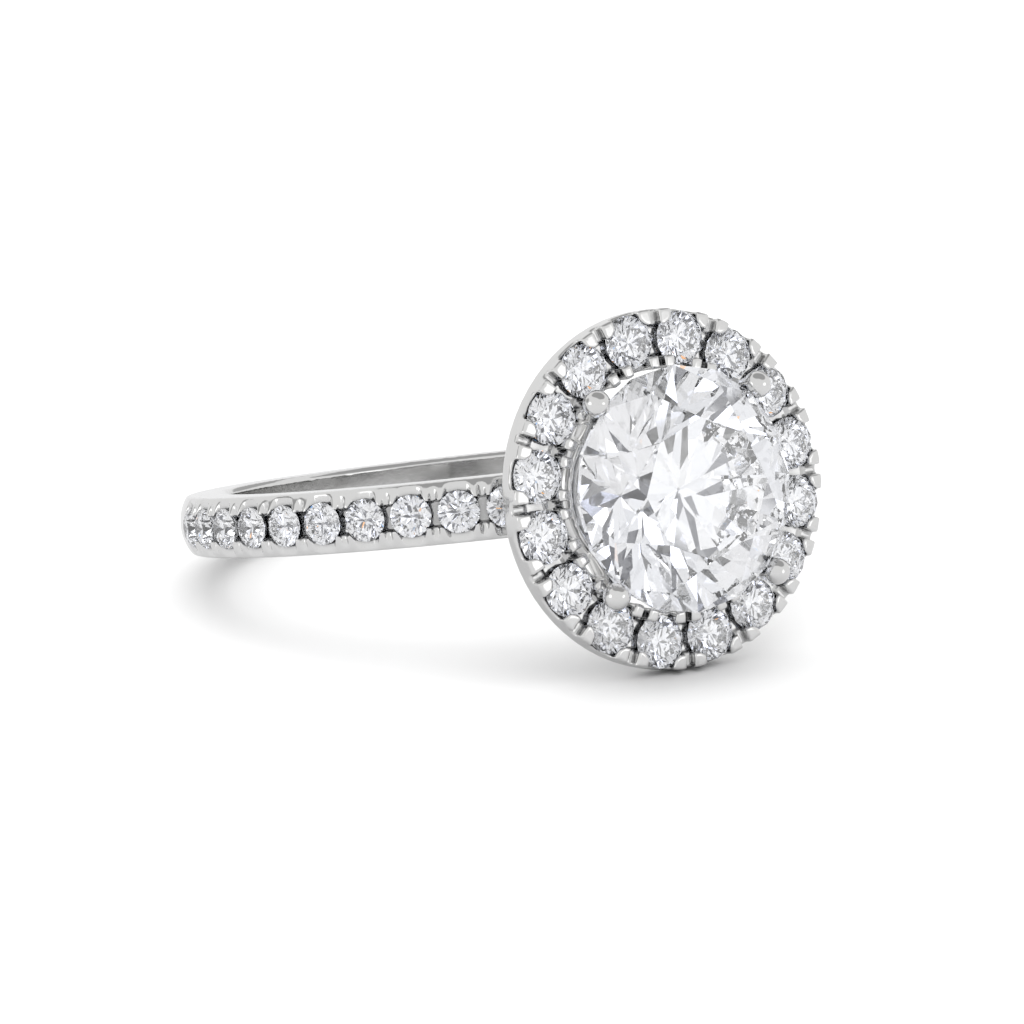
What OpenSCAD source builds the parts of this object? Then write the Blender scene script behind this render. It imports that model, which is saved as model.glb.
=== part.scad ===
// Halo ring in white gold: a round centre stone in four claws, a ring of sixteen small stones
// round it, and a row of small stones on each shoulder of the shank. The ring lies on its side.

/* [Shank] */
// Radius of the finger hole
hole_r = 8.25; // [7.4:0.05:9.9]
// Thickness of the shank from the finger hole to its crown
shank_t = 1.55; // [1.4:0.05:2]
// Width of the shank along the finger
shank_w = 1.85; // [1.75:0.05:2.4]
// How far the domed outside falls from the crown to the side faces
dome_drop = 0.3; // [0.2:0.02:0.4]
// Chamfer at both edges of the finger hole
hole_chamfer = 0.12; // [0.05:0.01:0.25]

/* [Shoulder stones] */
// Diameter of a shoulder stone
shank_stone_d = 1.25; // [1.1:0.05:1.35]
// Number of stones on each shoulder
shank_stone_n = 10; // [6:1:12]
// Metal left between two neighbouring shoulder stones
shank_stone_space = 0.17; // [0.12:0.01:0.35]
// Angle round the finger from the head to the first shoulder stone
shank_stone_start = 25; // [24:0.5:35]
// Depth of a shoulder stone's girdle below the crown
shank_stone_set = 0.15; // [0.09:0.01:0.18]
// Width of the arched cut under each shoulder stone
shank_arch_w = 0.78; // [0.6:0.02:0.86]
// Rounding of the arched cut's corners
shank_arch_round = 0.16; // [0.08:0.01:0.25]
// Height of the arched cut's floor above the edge of the side face
shank_arch_rise = 0.03; // [0.02:0.01:0.08]
// Width of the slit that splits each shoulder claw in two
shank_slit_w = 0.22; // [0.14:0.01:0.28]
// Height of the slit's floor above the edge of the side face
shank_slit_rise = 0.09; // [0.05:0.01:0.14]
// Depth of the channel between two shoulder stones
shank_channel_depth = 0.34; // [0.25:0.01:0.45]
// Width of the channel between two shoulder stones, along the finger
shank_channel_w = 0.74; // [0.5:0.02:0.8]

/* [Centre stone] */
// Diameter of the centre stone
centre_d = 7.13; // [6.5:0.05:7.6]
// Clear height between the finger hole and the centre stone's point
culet_clear = 0.48; // [0.4:0.02:0.9]

/* [Brilliant cut] */
// Diameter of the table as a share of the stone's diameter
table_share = 0.57; // [0.52:0.01:0.62]
// Height of the crown as a share of the stone's diameter
crown_share = 0.155; // [0.12:0.005:0.17]
// Height of the girdle as a share of the stone's diameter
girdle_share = 0.025; // [0.015:0.005:0.04]
// Depth of the pavilion as a share of the stone's diameter
pavilion_share = 0.43; // [0.4:0.005:0.45]
// Reach of the star facets from the table towards the girdle
star_share = 0.52; // [0.4:0.02:0.65]
// Reach of the lower girdle facets from the girdle towards the point
lower_share = 0.78; // [0.6:0.02:0.85]

/* [Halo] */
// Diameter of a halo stone
halo_stone_d = 1.55; // [1.3:0.05:1.6]
// Distance between the centre stone's edge and the circle of the halo stones' centres
halo_offset = 0.84; // [0.82:0.01:1.1]
// Least metal between two neighbouring halo stones
halo_stone_space = 0.1; // [0.08:0.01:0.2]
// Height of the centre stone's girdle above the tops of the halo's outer claws
halo_drop = 0.62; // [0.5:0.02:0.8]
// Height of the halo's inner claws above its outer claws
halo_inner_up = 0.18; // [0:0.02:0.22]
// Depth of a halo stone's girdle below the tops of the outer claws
halo_stone_set = 0.18; // [0.1:0.01:0.2]
// Metal outside the halo stones
halo_wall_out = 0.04; // [0.03:0.01:0.3]
// Metal inside the halo stones
halo_wall_in = 0.14; // [0.06:0.01:0.16]
// Metal behind the halo stones' points
halo_back_t = 0.03; // [0.02:0.01:0.3]
// Rounding of the halo's back rim
halo_round = 0.2; // [0.1:0.01:0.3]
// Radius of the open hole behind each halo stone
halo_hole_r = 0.34; // [0.2:0.02:0.45]
// Depth of the arched cut in the halo's walls under each stone
halo_arch_depth = 0.32; // [0.2:0.01:0.4]
// Rounding of the arched cut's corners
halo_arch_round = 0.15; // [0.08:0.01:0.25]
// Width of the arched cut in the halo's outer wall
halo_arch_out_w = 0.84; // [0.6:0.02:1]
// Width of the arched cut in the halo's inner wall
halo_arch_in_w = 0.58; // [0.5:0.02:0.66]
// Width of the slit between two outer claws
halo_slit_out_w = 0.27; // [0.14:0.01:0.3]
// Width of the slit between two inner claws
halo_slit_in_w = 0.18; // [0.14:0.01:0.22]
// Depth of the slits
halo_slit_depth = 0.29; // [0.2:0.01:0.34]
// Depth of the channel between two halo stones
halo_channel_depth = 0.37; // [0.3:0.01:0.45]
// Length of the outer claws, across the halo
halo_claw_out = 0.46; // [0.3:0.02:0.5]
// Length of the inner claws, across the halo
halo_claw_in = 0.38; // [0.3:0.02:0.5]

/* [Claws and rail] */
// Diameter of a main claw
claw_d = 0.72; // [0.6:0.02:0.8]
// Diameter of a main claw's round tip
claw_tip_d = 0.82; // [0.76:0.02:0.9]
// Distance of a tip's centre outside the centre stone's edge
claw_tip_out = 0.285; // [0.25:0.005:0.32]
// Height of a tip's centre above the centre stone's girdle
claw_tip_up = 0.16; // [0.1:0.02:0.24]
// Radius of the rail that joins the claws to the shank
rail_r = 2.45; // [2.2:0.05:2.7]
// Diameter of the rail's wire
rail_d = 0.7; // [0.6:0.02:0.8]
// Depth of the rail's middle below the shank's crown
rail_sink = 0.3; // [0.25:0.01:0.45]

/* [Fits] */
// Clearance between a stone and the metal round it
seat_gap = 0.03; // [0.02:0.005:0.05]
// How far the small claws reach over a stone's edge
lap = 0.12; // [0.06:0.01:0.12]

/* [Hidden] */
$fn = 48;
ring_fn = 180;
seat_fn = 64;
// Main claws round the centre stone
claw_count = 4;
// Turn between two mains of a brilliant, and between a main and the half next to it
main_turn = 360 / 8;
half_turn = main_turn / 2;
// Turn between two points of a rounding
round_turn = 30;
// How far a cutting tool runs past the metal
over = 0.5;
// Rounding of the slits' floors
slit_round = 0.06;

crown_r = hole_r + shank_t;
side_r = crown_r - dome_drop;
half_w = shank_w / 2;
dome_r = (half_w * half_w + dome_drop * dome_drop) / (2 * dome_drop);
dome_mid = crown_r - dome_r;

function girdle_h(d) = d * girdle_share;
function crown_h(d) = d * crown_share;
function pavilion_h(d) = d * pavilion_share;

shank_girdle_r = crown_r - shank_stone_set - girdle_h(shank_stone_d) / 2;
shank_pitch = 2 * asin((shank_stone_d + shank_stone_space) / (2 * shank_girdle_r));

centre_r = centre_d / 2;
centre_girdle_z = hole_r + culet_clear + pavilion_h(centre_d) + girdle_h(centre_d) / 2;

halo_pitch_r = centre_r + halo_offset;
halo_half = asin((halo_stone_d + halo_stone_space) / (2 * halo_pitch_r));
halo_n = claw_count * floor(180 / (claw_count * halo_half));
halo_step = 360 / halo_n;
halo_front_z = centre_girdle_z - halo_drop;
halo_girdle_z = halo_front_z - halo_stone_set - girdle_h(halo_stone_d) / 2;
halo_back_z = halo_girdle_z - girdle_h(halo_stone_d) / 2 - pavilion_h(halo_stone_d) - halo_back_t;
halo_out_r = halo_pitch_r + halo_stone_d / 2 + halo_wall_out;
halo_in_r = halo_pitch_r - halo_stone_d / 2 - halo_wall_in;
halo_channel_in_r = halo_in_r + halo_claw_in;
halo_channel_out_r = halo_out_r - halo_claw_out;

claw_tip = [centre_r + claw_tip_out, centre_girdle_z + claw_tip_up];
claw_foot = [rail_r, crown_r - rail_sink];

// Half section of the halo: distance from its axis, height over the finger's axis
halo_section = concat(
    [[halo_in_r, halo_front_z + halo_inner_up], [halo_in_r, halo_back_z]],
    [for (a = [-90:round_turn:0]) [halo_out_r - halo_round + halo_round * cos(a),
                           halo_back_z + halo_round + halo_round * sin(a)]],
    [[halo_out_r, halo_front_z]]);

// The ring rests on the halo's rim and on the far edge of the shank: the steepest line through both
lie_tilt = atan(max([for (p = halo_section) (p[0] - half_w) / (p[1] + side_r)]));
lie_lift = side_r * sin(lie_tilt) + half_w * cos(lie_tilt);
table_z = centre_girdle_z + girdle_h(centre_d) / 2 + crown_h(centre_d);
front_reach = table_z * cos(lie_tilt) + centre_r * table_share * sin(lie_tilt);
back_reach = dome_mid * cos(lie_tilt) + dome_r;
lie_shift = (front_reach - back_reach) / 2;

// From the ring's own frame, with the finger along Z and the head towards -Y, to the resting place
module lie_down() {
    translate([0, lie_shift, lie_lift]) rotate([-lie_tilt, 0, 0]) children();
}

// The head's own frame: Z points outward from the finger, Y along the finger
module head_frame() {
    rotate([90, 0, 0]) children();
}

// The place of shoulder stone or gap number i on one side, 1 for the left and -1 for the right
module shoulder_frame(i, side) {
    rotate([0, 0, -side * (shank_stone_start + i * shank_pitch)]) head_frame() children();
}

// The place at an angle round the halo, with X pointing away from the centre stone
module halo_frame(a) {
    rotate([0, 0, a]) translate([halo_pitch_r, 0, 0]) children();
}

// Round brilliant of diameter d with the middle of its girdle at height 0
module brilliant(d) {
    r = d / 2;
    top = girdle_h(d) / 2;
    table_r = r * table_share;
    table_up = top + crown_h(d);
    point = -top - pavilion_h(d);
    half = cos(half_turn);
    star_r = (table_r + star_share * (r - table_r)) / half;
    star_up = table_up - (star_r * half - table_r) * crown_h(d) / (r - table_r);
    lower_r = r * (1 - lower_share);
    lower_up = point + lower_r * half / r * pavilion_h(d);
    function at(radius, angle, height) = [radius * cos(angle), radius * sin(angle), height];
    points = concat(
        [for (a = [0:main_turn:360 - main_turn]) at(table_r, a, table_up)],
        [for (a = [half_turn:main_turn:360]) at(star_r, a, star_up)],
        [for (a = [0:half_turn:360 - half_turn]) at(r, a, top)],
        [for (a = [0:half_turn:360 - half_turn]) at(r, a, -top)],
        [for (a = [half_turn:main_turn:360]) at(lower_r, a, lower_up)],
        [[0, 0, point]]);
    star = 8;
    rim = 16;
    base = 32;
    low = 48;
    culet = 56;
    function next(i) = (i + 1) % 8;
    function turn(i) = (i + 1) % 16;
    faces = concat(
        [[for (i = [7:-1:0]) i]],
        [for (i = [0:7]) [i, next(i), star + i]],
        [for (i = [0:7]) [next(i), star + next(i), rim + (2 * i + 2) % 16, star + i]],
        [for (i = [0:7]) [star + i, rim + 2 * i + 1, rim + 2 * i]],
        [for (i = [0:7]) [star + i, rim + (2 * i + 2) % 16, rim + 2 * i + 1]],
        [for (i = [0:15]) [rim + i, rim + turn(i), base + turn(i), base + i]],
        [for (i = [0:7]) [base + 2 * i, base + 2 * i + 1, low + i]],
        [for (i = [0:7]) [base + 2 * i + 1, base + (2 * i + 2) % 16, low + i]],
        [for (i = [0:7]) [culet, low + i, base + (2 * i + 2) % 16, low + next(i)]]);
    polyhedron(points, faces);
}

// Seat of a stone of diameter d: its own form and clearance, open outward inside the claws' lap,
// and open behind through a hole of radius hole, or pointed behind where hole is 0
module seat(d, hole) {
    r = d / 2 + seat_gap;
    top = girdle_h(d) / 2 + seat_gap;
    low = -girdle_h(d) / 2;
    mouth = d / 2 - lap;
    slope = pavilion_h(d) / (d / 2);
    lower_r = d / 2 * (1 - lower_share) + seat_gap;
    back = -pavilion_h(d) - over;
    behind = hole > 0
        ? [[0, back], [hole, back], [hole, low - (r - hole) * slope]]
        : [[0, low - r * slope], [lower_r, low - (r - lower_r * cos(half_turn)) * slope]];
    crown_slope = crown_h(d) / (d / 2 * (1 - table_share));
    rotate_extrude($fn = seat_fn) polygon(concat(behind,
        [[r, low], [r, top], [mouth, top + (r - mouth) * crown_slope], [mouth, over], [0, over]]));
}

// Cut with a flat floor and rounded corners. It runs along X from 0, with its floor at height 0
module notch(width, rounding, run) {
    flat = width / 2 - rounding;
    rotate([90, 0, 90]) linear_extrude(run) polygon(concat(
        [for (a = [180:round_turn:270]) [rounding * cos(a) - flat, rounding * sin(a) + rounding]],
        [for (a = [270:round_turn:360]) [rounding * cos(a) + flat, rounding * sin(a) + rounding]],
        [[width / 2, rounding + over], [-width / 2, rounding + over]]));
}

module shank_body() {
    rotate_extrude($fn = ring_fn) intersection() {
        polygon([[hole_r, hole_chamfer - half_w], [hole_r, half_w - hole_chamfer],
            [hole_r + hole_chamfer, half_w], [crown_r + over, half_w],
            [crown_r + over, -half_w], [hole_r + hole_chamfer, -half_w]]);
        translate([dome_mid, 0]) circle(r = dome_r, $fn = ring_fn);
    }
}

// Notch across the shank's whole width, with its floor at radius floor_r
module shank_notch(width, rounding, floor_r) {
    translate([0, half_w + over, floor_r]) rotate([0, 0, -90])
        notch(width, rounding, shank_w + 2 * over);
}

module shoulder_cuts(side) {
    for (i = [0:shank_stone_n - 1]) shoulder_frame(i, side) {
        translate([0, 0, shank_girdle_r]) seat(shank_stone_d, 0);
        shank_notch(shank_arch_w, shank_arch_round, side_r + shank_arch_rise);
    }
    for (i = [0:shank_stone_n - 2]) shoulder_frame(i + 0.5, side) {
        shank_notch(shank_slit_w, slit_round, side_r + shank_slit_rise);
        translate([-shank_stone_d / 2, -shank_channel_w / 2, crown_r - shank_channel_depth])
            cube([shank_stone_d, shank_channel_w, shank_channel_depth + over]);
    }
}

module halo_body() {
    rotate_extrude($fn = ring_fn) polygon(halo_section);
}

module halo_cuts() {
    for (i = [0:halo_n - 1]) {
        halo_frame((i + 0.5) * halo_step) {
            translate([0, 0, halo_girdle_z]) seat(halo_stone_d, halo_hole_r);
            translate([0, 0, halo_front_z - halo_arch_depth]) {
                notch(halo_arch_out_w, halo_arch_round, halo_stone_d);
                rotate([0, 0, 180]) notch(halo_arch_in_w, halo_arch_round, halo_stone_d);
            }
        }
        rotate([0, 0, i * halo_step]) {
            translate([halo_pitch_r, 0, halo_front_z - halo_slit_depth]) {
                notch(halo_slit_out_w, slit_round, halo_stone_d);
                rotate([0, 0, 180]) notch(halo_slit_in_w, slit_round, halo_stone_d);
            }
            translate([halo_channel_in_r, -halo_stone_d / 2, halo_front_z - halo_channel_depth])
                cube([halo_channel_out_r - halo_channel_in_r, halo_stone_d, halo_channel_depth + over]);
        }
    }
}

module claw() {
    rise = claw_tip[1] - claw_foot[1];
    lean = claw_tip[0] - claw_foot[0];
    translate([claw_foot[0], 0, claw_foot[1]]) rotate([0, atan(lean / rise), 0])
        cylinder(d = claw_d, h = sqrt(rise * rise + lean * lean));
    translate([claw_tip[0], 0, claw_tip[1]]) sphere(d = claw_tip_d);
}

module claws_and_rail() {
    for (i = [0:claw_count - 1]) rotate([0, 0, (i + 0.5) * 360 / claw_count]) claw();
    translate([0, 0, claw_foot[1]]) rotate_extrude($fn = ring_fn)
        translate([rail_r, 0]) circle(d = rail_d);
}

// Shank, rail, claws and halo, soldered into one piece
module setting() {
    color([0.86, 0.86, 0.87]) lie_down() union() {
        difference() {
            shank_body();
            shoulder_cuts(1);
            shoulder_cuts(-1);
            head_frame() translate([0, 0, centre_girdle_z]) seat(centre_d, 0);
        }
        head_frame() difference() {
            halo_body();
            halo_cuts();
        }
        head_frame() difference() {
            claws_and_rail();
            translate([0, 0, centre_girdle_z]) seat(centre_d, 0);
        }
    }
}

module centre_stone() {
    color([0.93, 0.95, 0.97]) lie_down() head_frame() translate([0, 0, centre_girdle_z])
        brilliant(centre_d);
}

module halo_stone(i) {
    color([0.88, 0.92, 0.97]) lie_down() head_frame() halo_frame((i - 0.5) * halo_step)
        translate([0, 0, halo_girdle_z]) brilliant(halo_stone_d);
}

// Numbers run from the head backwards, first down the left shoulder and then down the right
module shoulder_stone(i) {
    side = i > shank_stone_n ? -1 : 1;
    place = (i - 1) % shank_stone_n;
    color([0.88, 0.92, 0.97]) lie_down() shoulder_frame(place, side)
        translate([0, 0, shank_girdle_r]) brilliant(shank_stone_d);
}

setting();
centre_stone();
for (i = [1:halo_n]) halo_stone(i);
for (i = [1:2 * shank_stone_n]) shoulder_stone(i);
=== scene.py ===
"""Looks of a white gold halo ring that lies on its side: metal, stones, floor, light and camera."""
import math

import bmesh
import bpy
from mathutils import Matrix, Vector
from mathutils.bvhtree import BVHTree
from mathutils.geometry import barycentric_transform


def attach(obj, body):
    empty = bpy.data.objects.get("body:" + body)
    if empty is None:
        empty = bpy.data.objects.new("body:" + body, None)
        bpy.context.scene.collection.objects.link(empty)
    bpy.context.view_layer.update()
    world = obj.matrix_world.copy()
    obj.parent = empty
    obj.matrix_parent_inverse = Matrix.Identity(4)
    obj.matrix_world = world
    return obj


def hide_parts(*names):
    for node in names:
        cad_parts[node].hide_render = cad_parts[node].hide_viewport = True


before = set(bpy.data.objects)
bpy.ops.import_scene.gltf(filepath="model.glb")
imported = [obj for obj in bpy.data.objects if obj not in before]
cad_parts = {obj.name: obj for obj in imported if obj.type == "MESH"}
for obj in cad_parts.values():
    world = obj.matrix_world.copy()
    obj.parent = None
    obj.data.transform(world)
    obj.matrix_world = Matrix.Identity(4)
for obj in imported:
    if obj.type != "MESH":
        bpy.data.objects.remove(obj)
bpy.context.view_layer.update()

MM = 0.001

# Camera, in millimetres of the ring's own frame
CAMERA_AT = (-45.24, -78.75, 25.08)
CAMERA_AIM = (-0.066, 0.0, 2.617)
CAMERA_ROLL = math.radians(-0.12)
CAMERA_LENS = 104.1
CAMERA_SENSOR = 36.0
# Nearest and farthest that the camera sees, in metres
CAMERA_CLIP = (0.001, 50)

# Light for the metal: an even wall, and cards. A card is the way to it, half its angle and the
# width of its soft edge in degrees, and its light
METAL_SKY = 0.90
METAL_CARDS = (
    ((0.0, 0.0, 1.0), 29, 3, 0.42),
    ((0.33, -0.19, 0.93), 29, 3, 0.42),
    ((0.47, -0.87, 0.13), 10, 6, 1.6),
    ((-0.99, -0.03, 0.13), 10, 6, 1.8),
    ((-0.80, 0.50, 0.35), 12, 4, 0.40),
    ((0.75, 0.60, 0.30), 14, 4, 0.45),
)

# Light for the stones: rings of cards round the way that the head faces, each ring's lean from it,
# number of cards, half their angle and light. Dark and bright cards take turns
STONE_SKY = 0.88
HEAD_WAY = (0.0, -0.978, 0.209)
CAMERA_WAY = (-0.483, -0.842, 0.240)
CAMERA_CARD = (9, 0.5, 0.10)
CARD_RINGS = (
    (20, 5, 6.0, 0.12),
    (30, 6, 5.0, 2.2),
    (41, 9, 7.0, 0.10),
    (52, 8, 5.5, 2.2),
    (64, 10, 8.0, 0.14),
)
CARD_EDGE = 0.5
SKY_TINT = (0.985, 0.995, 1.03)
CARD_TINT = (0.92, 0.96, 1.14)
FLASH_HALF = 3.2
FLASHES = (
    (33, 250, (1.3, 0.45, 0.15)),
    (36, 110, (0.15, 0.60, 1.35)),
    (55, 20, (1.3, 0.62, 0.22)),
    (58, 200, (0.25, 0.40, 1.25)),
)
ROOM_SKY = 1.10
SUN_POWER = 0.95
SUN_ANGLE = math.radians(60)
SUN_TURN = (math.radians(-4), math.radians(3), 0)
MOST_BOUNCES = 24

# Floor, its half width in metres
FLOOR_HALF = 3.0
FLOOR_LIGHT = (0.95, 0.95, 0.95, 1)
FLOOR_SEEN = (0.66, 0.66, 0.665, 1)
FLOOR_ROUGH = 0.6

# White gold. Clouds and grain are noise scales. The recess colour is painted shade, put where little of
# the sky within
# RECESS_REACH metres is open: it is full below RECESS_FULL and ends at RECESS_END
GOLD_LIGHT = (0.755, 0.753, 0.747, 1)
GOLD_DARK = (0.73, 0.73, 0.727, 1)
GOLD_CLOUDS = 420.0
GOLD_GRAIN = 5200.0
GRAIN_LOW = 0.3
GRAIN_HIGH = 0.7
ROUGH_LOW = 0.05
ROUGH_HIGH = 0.08
BUMP_SHARE = 0.03
BUMP_HEIGHT = 0.00002
# Painted shade: the dark colour that the metal takes in recesses
PAINTED_RECESS_SHADE = (0.05, 0.053, 0.06, 1)
RECESS_REACH = 0.0003
RECESS_FULL = 0.25
RECESS_END = 0.8
RECESS_SAMPLES = 8

# Diamond
DIAMOND_IOR = 2.417
DIAMOND_CLEAR = (1.0, 1.0, 1.0, 1)
DIAMOND_COOL = (0.975, 0.985, 1.0, 1)
DIAMOND_CLOUDS = 900.0

# Softened edges of the setting. WELD and VOXEL are in millimetres
WELD = 0.0001
VOXEL = 0.034
SMOOTHING = 30
MOST_TRIANGLES = 190000

# Lean of a soft normal from the exact one, in degrees: the exact one holds below, the soft one above
TRUE_BELOW = 4
SOFT_FROM = 14


def tree_of(owner):
    """Empties the node tree of a material or world and returns it."""
    owner.use_nodes = True
    owner.node_tree.nodes.clear()
    return owner.node_tree


def add(tree, kind, **values):
    """Adds a node. A value is a number or colour for an input, or a socket to link to it."""
    node = tree.nodes.new(kind)
    for name, value in values.items():
        if hasattr(node, name):
            setattr(node, name, value)
            continue
        plug = node.inputs[int(name[1:])] if name[0] == "i" and name[1:].isdigit() \
            else node.inputs[name.replace("_", " ")]
        if isinstance(value, bpy.types.NodeSocket):
            tree.links.new(value, plug)
        else:
            plug.default_value = value
    return node


def metal():
    """Polished white gold with faint clouds of tone and polish, and painted shade that darkens the colour
    where recesses shut out the light.
    """
    mat = bpy.data.materials.new("white_gold")
    tree = tree_of(mat)
    place = add(tree, "ShaderNodeTexCoord").outputs["Object"]
    clouds = add(tree, "ShaderNodeTexNoise", Vector=place, Scale=GOLD_CLOUDS, Detail=3.0)
    grain = add(tree, "ShaderNodeTexNoise", Vector=place, Scale=GOLD_GRAIN, Detail=2.0)
    tone = add(tree, "ShaderNodeMix", data_type="RGBA", i0=clouds.outputs["Fac"],
               i6=GOLD_DARK, i7=GOLD_LIGHT)
    # Painted shade: the tone turns dark in recesses that little of the sky reaches
    open_sky = add(tree, "ShaderNodeAmbientOcclusion", samples=RECESS_SAMPLES, Distance=RECESS_REACH)
    share = add(tree, "ShaderNodeMapRange", Value=open_sky.outputs["AO"],
                From_Min=RECESS_FULL, From_Max=RECESS_END)
    tone_and_painted_shade = add(tree, "ShaderNodeMix", data_type="RGBA", i0=share.outputs["Result"],
               i6=PAINTED_RECESS_SHADE, i7=tone.outputs[2])
    rough = add(tree, "ShaderNodeMapRange", Value=grain.outputs["Fac"],
                From_Min=GRAIN_LOW, From_Max=GRAIN_HIGH, To_Min=ROUGH_LOW, To_Max=ROUGH_HIGH)
    bump = add(tree, "ShaderNodeBump", Height=grain.outputs["Fac"], Strength=BUMP_SHARE,
               Distance=BUMP_HEIGHT)
    skin = add(tree, "ShaderNodeBsdfPrincipled", Metallic=1.0, Base_Color=tone_and_painted_shade.outputs[2],
               Roughness=rough.outputs["Result"], Normal=bump.outputs["Normal"])
    add(tree, "ShaderNodeOutputMaterial", Surface=skin.outputs["BSDF"])
    return mat


def diamond():
    """Clear cut stone with a faint cool tone in places."""
    mat = bpy.data.materials.new("diamond")
    tree = tree_of(mat)
    place = add(tree, "ShaderNodeTexCoord").outputs["Object"]
    clouds = add(tree, "ShaderNodeTexNoise", Vector=place, Scale=DIAMOND_CLOUDS, Detail=2.0)
    tone = add(tree, "ShaderNodeMix", data_type="RGBA", i0=clouds.outputs["Fac"],
               i6=DIAMOND_COOL, i7=DIAMOND_CLEAR)
    skin = add(tree, "ShaderNodeBsdfPrincipled", Base_Color=tone.outputs[2], Roughness=0.0,
               IOR=DIAMOND_IOR, Transmission_Weight=1.0)
    add(tree, "ShaderNodeOutputMaterial", Surface=skin.outputs["BSDF"])
    return mat


def floor():
    """Plain pale floor, a little darker in reflections and through the stones than it looks itself."""
    bpy.ops.mesh.primitive_plane_add(size=2 * FLOOR_HALF, location=(0, 0, 0))
    plane = bpy.context.object
    plane.name = "floor"
    mat = bpy.data.materials.new("floor")
    tree = tree_of(mat)
    path = add(tree, "ShaderNodeLightPath")
    seen_in = add(tree, "ShaderNodeMath", operation="MAXIMUM", i0=path.outputs["Is Glossy Ray"],
                  i1=path.outputs["Transmission Depth"])
    share = add(tree, "ShaderNodeMath", operation="MINIMUM", i0=seen_in.outputs["Value"], i1=1.0)
    tone = add(tree, "ShaderNodeMix", data_type="RGBA", i0=share.outputs["Value"], i6=FLOOR_LIGHT,
               i7=FLOOR_SEEN)
    skin = add(tree, "ShaderNodeBsdfPrincipled", Base_Color=tone.outputs[2], Roughness=FLOOR_ROUGH)
    add(tree, "ShaderNodeOutputMaterial", Surface=skin.outputs["BSDF"])
    plane.data.materials.append(mat)


def ring_way(lean, turn):
    """Way that leans from the head's own way by one angle and is turned about it by another."""
    ahead = Vector(HEAD_WAY).normalized()
    side = ahead.cross(Vector((0, 0, 1))).normalized()
    up = side.cross(ahead)
    lean, turn = math.radians(lean), math.radians(turn)
    return ahead * math.cos(lean) + (side * math.cos(turn) + up * math.sin(turn)) * math.sin(lean)


def card(tree, way, level, toward, half, soft, bright):
    """Puts a round card of one colour over the light so far."""
    facing = add(tree, "ShaderNodeVectorMath", operation="DOT_PRODUCT", i0=way,
                 i1=Vector(toward).normalized()).outputs["Value"]
    share = add(tree, "ShaderNodeMapRange", interpolation_type="SMOOTHSTEP", Value=facing,
                From_Min=math.cos(math.radians(half + soft)), From_Max=math.cos(math.radians(half)))
    colour = bright if isinstance(bright, tuple) else (bright, bright, bright)
    return add(tree, "ShaderNodeMix", data_type="RGBA", i0=share.outputs["Result"], i6=level,
               i7=(*colour, 1)).outputs[2]


def sky():
    """Soft white studio. The stones see rings of dark and bright cards, the metal a few broad ones."""
    world = bpy.data.worlds.new("studio")
    bpy.context.scene.world = world
    tree = tree_of(world)
    way = add(tree, "ShaderNodeTexCoord").outputs["Generated"]
    for_metal = (METAL_SKY, METAL_SKY, METAL_SKY, 1)
    for toward, half, soft, bright in METAL_CARDS:
        for_metal = card(tree, way, for_metal, toward, half, soft, bright)
    for_stone = (*(STONE_SKY * part for part in SKY_TINT), 1)
    for lean, count, half, bright in CARD_RINGS:
        for i in range(count):
            for_stone = card(tree, way, for_stone, ring_way(lean, lean + i * 360 / count), half,
                             CARD_EDGE, tuple(bright * part for part in CARD_TINT))
    for_stone = card(tree, way, for_stone, CAMERA_WAY, *CAMERA_CARD)
    for lean, turn, colour in FLASHES:
        for_stone = card(tree, way, for_stone, ring_way(lean, turn), FLASH_HALF, CARD_EDGE, colour)
    path = add(tree, "ShaderNodeLightPath")
    in_stone = add(tree, "ShaderNodeMath", operation="GREATER_THAN",
                   i0=path.outputs["Transmission Depth"], i1=0.5)
    light = add(tree, "ShaderNodeMix", data_type="RGBA", i0=in_stone.outputs["Value"],
                i6=for_metal, i7=for_stone)
    room = add(tree, "ShaderNodeMix", data_type="RGBA", i0=path.outputs["Is Diffuse Ray"],
               i6=light.outputs[2], i7=(ROOM_SKY, ROOM_SKY, ROOM_SKY, 1))
    back = add(tree, "ShaderNodeBackground", Color=room.outputs[2], Strength=1.0)
    add(tree, "ShaderNodeOutputWorld", Surface=back.outputs["Background"])


def sun():
    """Very soft light from above that doesn't show in reflections."""
    lamp = bpy.data.lights.new("sun", "SUN")
    lamp.energy = SUN_POWER
    lamp.angle = SUN_ANGLE
    thing = bpy.data.objects.new("sun", lamp)
    thing.rotation_euler = SUN_TURN
    thing.visible_glossy = False
    bpy.context.scene.collection.objects.link(thing)


def camera():
    """The camera that was fitted to the photo."""
    data = bpy.data.cameras.new("camera")
    data.lens = CAMERA_LENS
    data.sensor_width = CAMERA_SENSOR
    data.clip_start, data.clip_end = CAMERA_CLIP
    thing = bpy.data.objects.new("camera", data)
    at = Vector(CAMERA_AT) * MM
    aim = Vector(CAMERA_AIM) * MM
    turn = (aim - at).to_track_quat("-Z", "Y").to_matrix().to_4x4()
    thing.matrix_world = Matrix.Translation(at) @ turn @ Matrix.Rotation(CAMERA_ROLL, 4, "Z")
    bpy.context.scene.collection.objects.link(thing)
    bpy.context.scene.camera = thing


def dress(name, mat):
    """Puts one material on a piece of the frame."""
    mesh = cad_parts[name].data
    for i in range(max(1, len(mesh.materials))):
        if i < len(mesh.materials):
            mesh.materials[i] = mat
        else:
            mesh.materials.append(mat)


def evaluated(piece):
    """A new mesh from a piece with its modifiers."""
    graph = bpy.context.evaluated_depsgraph_get()
    return bpy.data.meshes.new_from_object(piece.evaluated_get(graph))


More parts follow.
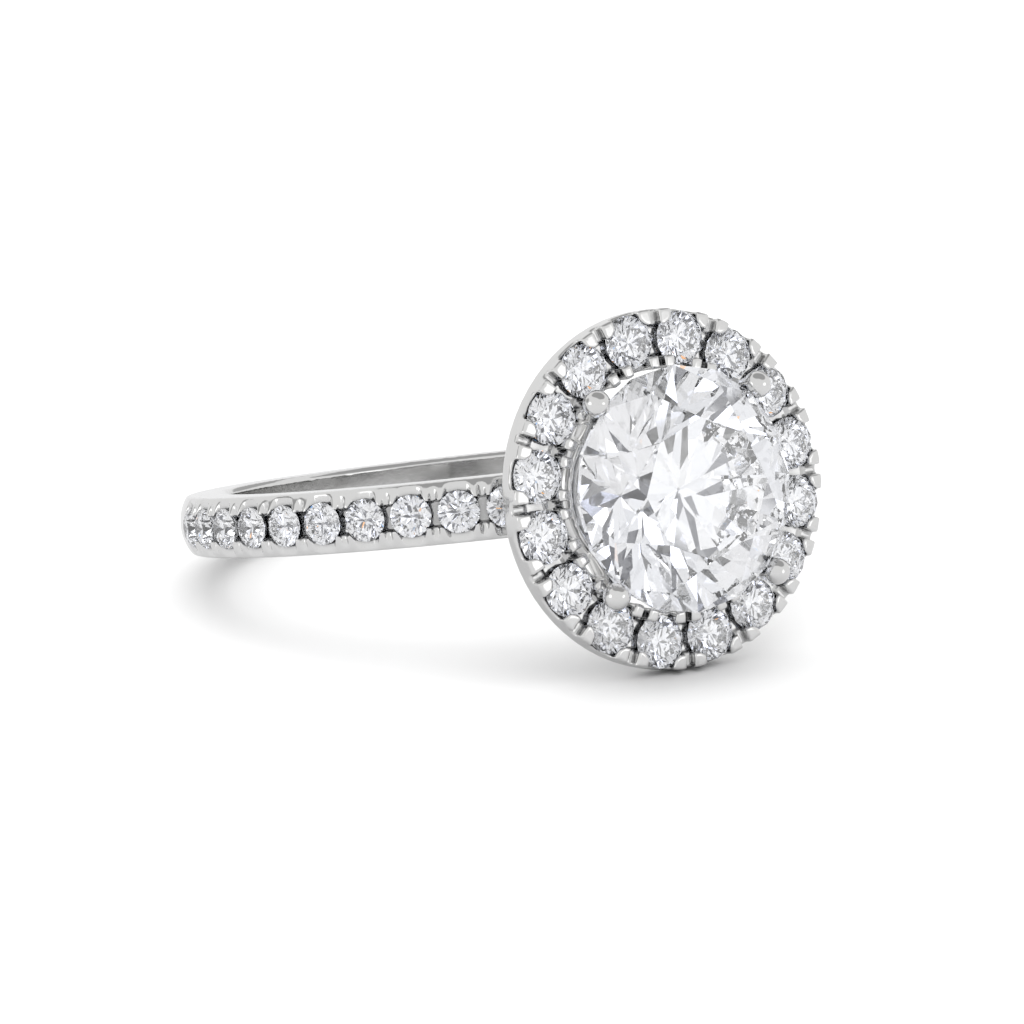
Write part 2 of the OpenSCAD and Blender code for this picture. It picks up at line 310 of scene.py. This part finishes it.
def true_normals(mesh, source):
    """Gives the smooth faces of a soft mesh the normals of the exact mesh that it was made from."""
    source.calc_loop_triangles()
    corners = [tri.loops for tri in source.loop_triangles]
    places = [vert.co for vert in source.vertices]
    flat = [tuple(tri.vertices) for tri in source.loop_triangles]
    tree = BVHTree.FromPolygons(places, flat)
    exact = [Vector(corner.vector) for corner in source.corner_normals]
    normals = []
    for vert in mesh.vertices:
        spot, _, face, _ = tree.find_nearest(vert.co)
        a, b, c = (places[i] for i in flat[face])
        normal = barycentric_transform(spot, a, b, c, *(exact[i] for i in corners[face]))
        normal.normalize()
        lean = math.degrees(vert.normal.angle(normal, math.pi))
        share = min(1.0, max(0.0, (SOFT_FROM - lean) / (SOFT_FROM - TRUE_BELOW)))
        normals.append(vert.normal.lerp(normal, share).normalized())
    mesh.normals_split_custom_set_from_vertices(normals)


def soft_setting(mat):
    """The setting from the frame with its sharp edges softly rounded, as polishing leaves them."""
    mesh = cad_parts["setting"].data.copy()
    mesh.transform(Matrix.Scale(1 / MM, 4))
    source = mesh.copy()
    form = bmesh.new()
    form.from_mesh(mesh)
    bmesh.ops.remove_doubles(form, verts=form.verts, dist=WELD)
    form.to_mesh(mesh)
    form.free()
    piece = bpy.data.objects.new("soft_setting", mesh)
    bpy.context.scene.collection.objects.link(piece)
    grid = piece.modifiers.new("grid", "REMESH")
    grid.mode = "VOXEL"
    grid.voxel_size = VOXEL
    grid.use_smooth_shade = True
    soften = piece.modifiers.new("soften", "SMOOTH")
    soften.iterations = SMOOTHING
    piece.data = evaluated(piece)
    piece.modifiers.clear()
    thin = piece.modifiers.new("thin", "DECIMATE")
    thin.ratio = MOST_TRIANGLES / (2 * len(piece.data.polygons))
    piece.data = evaluated(piece)
    piece.modifiers.clear()
    true_normals(piece.data, source)
    piece.data.transform(Matrix.Scale(MM, 4))
    piece.data.materials.clear()
    piece.data.materials.append(mat)
    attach(piece, "root")
    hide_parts("setting")


gold = metal()
stone = diamond()
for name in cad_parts:
    dress(name, gold if name == "setting" else stone)
soft_setting(gold)

floor()
sky()
sun()
camera()
bpy.context.scene.view_settings.view_transform = "Standard"
bpy.context.scene.cycles.max_bounces = MOST_BOUNCES
bpy.context.scene.cycles.glossy_bounces = MOST_BOUNCES
bpy.context.scene.cycles.transmission_bounces = MOST_BOUNCES
